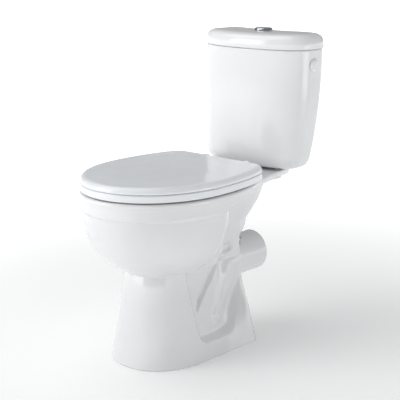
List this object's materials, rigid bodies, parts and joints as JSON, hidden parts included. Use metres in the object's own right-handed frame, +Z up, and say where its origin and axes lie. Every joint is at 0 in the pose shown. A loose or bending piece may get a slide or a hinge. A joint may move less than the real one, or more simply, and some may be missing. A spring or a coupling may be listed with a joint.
{
  "type": "close coupled toilet",
  "caption": "Close coupled toilet: washdown pan with horizontal outlet, coupled cistern with dual flush button, and a hinged seat ring and lid.",
  "frame": {"origin": "on the floor, at the middle of the overall width and depth", "axes": "+Z up, -Y towards the front of the seat, +X to the right seen from the front"},
  "size_m": [0.3443, 0.6215, 0.7411],
  "materials": {
    "china": "glossy white glaze",
    "plug": "glossy white",
    "seat": "glossy white",
    "chrome": "polished",
    "steel": "stainless",
    "rubber": "matte black",
    "white_plastic": "satin white",
    "grey_plastic": "satin grey",
    "buffer": "soft translucent white"
  },
  "bodies": {
    "base": {"pan": "china", "cistern": "china", "cistern_lid": "china", "inlet_plug": "plug", "button_bezel": "chrome", "hinge_post_left": "chrome", "hinge_post_right": "chrome", "hinge_pin_left": "steel", "hinge_pin_right": "steel", "cistern_bolt_left": "steel", "cistern_bolt_right": "steel", "cistern_bolt_washer_left": "steel", "cistern_bolt_washer_right": "steel", "hinge_sleeve_left": "rubber", "hinge_sleeve_right": "rubber", "hinge_seal_left": "rubber", "hinge_seal_right": "rubber", "flush_valve_washer": "rubber", "coupling_gasket": "rubber", "fill_valve_washer": "rubber", "inlet_plug_washer": "rubber", "cistern_bolt_seal_left": "rubber", "cistern_bolt_seal_right": "rubber", "button_nut": "white_plastic", "flush_valve_backnut": "white_plastic", "fill_valve_body": "white_plastic", "fill_valve_backnut": "white_plastic", "inlet_plug_nut": "white_plastic", "cistern_wing_nut_left": "white_plastic", "cistern_wing_nut_right": "white_plastic", "flush_valve_body": "grey_plastic"},
    "ring": {"seat_ring": "seat", "ring_buffer_front_left": "buffer", "ring_buffer_front_right": "buffer", "ring_buffer_rear_left": "buffer", "ring_buffer_rear_right": "buffer"},
    "lid": {"seat_lid": "seat", "lid_buffer_left": "buffer", "lid_buffer_right": "buffer"},
    "full_button": {"full_flush_button": "chrome", "full_push_rod": "white_plastic"},
    "half_button": {"half_flush_button": "chrome", "half_push_rod": "white_plastic"},
    "full_lever": {"full_flush_lever": "grey_plastic"},
    "half_lever": {"half_flush_lever": "grey_plastic"},
    "valve": {"overflow_tube": "white_plastic", "valve_seal": "rubber"},
    "float": {"fill_valve_float": "grey_plastic"}
  },
  "joints": [
    {"name": "seat_ring_hinge", "type": "hinge", "parent": "base", "child": "ring", "pos_m": [0, 0.11875, 0.425], "axis": [-1, 0, 0], "range_deg": [0, 94]},
    {"name": "seat_lid_hinge", "type": "hinge", "parent": "ring", "child": "lid", "pos_m": [0, 0.11875, 0.425], "axis": [1, 0, 0], "range_deg": [-94, 0]},
    {"name": "full_flush_press", "type": "slide", "parent": "base", "child": "full_button", "axis": [0, 0, -1], "range_m": [0, 0.008], "stiffness_N_per_m": 400, "springref_m": -0.004},
    {"name": "half_flush_press", "type": "slide", "parent": "base", "child": "half_button", "axis": [0, 0, -1], "range_m": [0, 0.008], "stiffness_N_per_m": 400, "springref_m": -0.004},
    {"name": "full_lever_pivot", "type": "hinge", "parent": "base", "child": "full_lever", "pos_m": [-0.0175, 0.23075, 0.594], "axis": [-1, 0, 0], "range_deg": [0, 26]},
    {"name": "half_lever_pivot", "type": "hinge", "parent": "base", "child": "half_lever", "pos_m": [0.0175, 0.23075, 0.594], "axis": [-1, 0, 0], "range_deg": [0, 26]},
    {"name": "flush_valve_lift", "type": "slide", "parent": "base", "child": "valve", "axis": [0, 0, 1], "range_m": [0, 0.0062]},
    {"name": "float_rise", "type": "slide", "parent": "base", "child": "float", "axis": [0, 0, 1], "range_m": [0, 0.03]}
  ],
  "couplings": [
    {"joint": "full_lever_pivot", "follows": "full_flush_press", "rad_per_m": 54},
    {"joint": "half_lever_pivot", "follows": "half_flush_press", "rad_per_m": 54},
    {"joint": "flush_valve_lift", "follows": "full_flush_press", "ratio": 0.76}
  ]
}
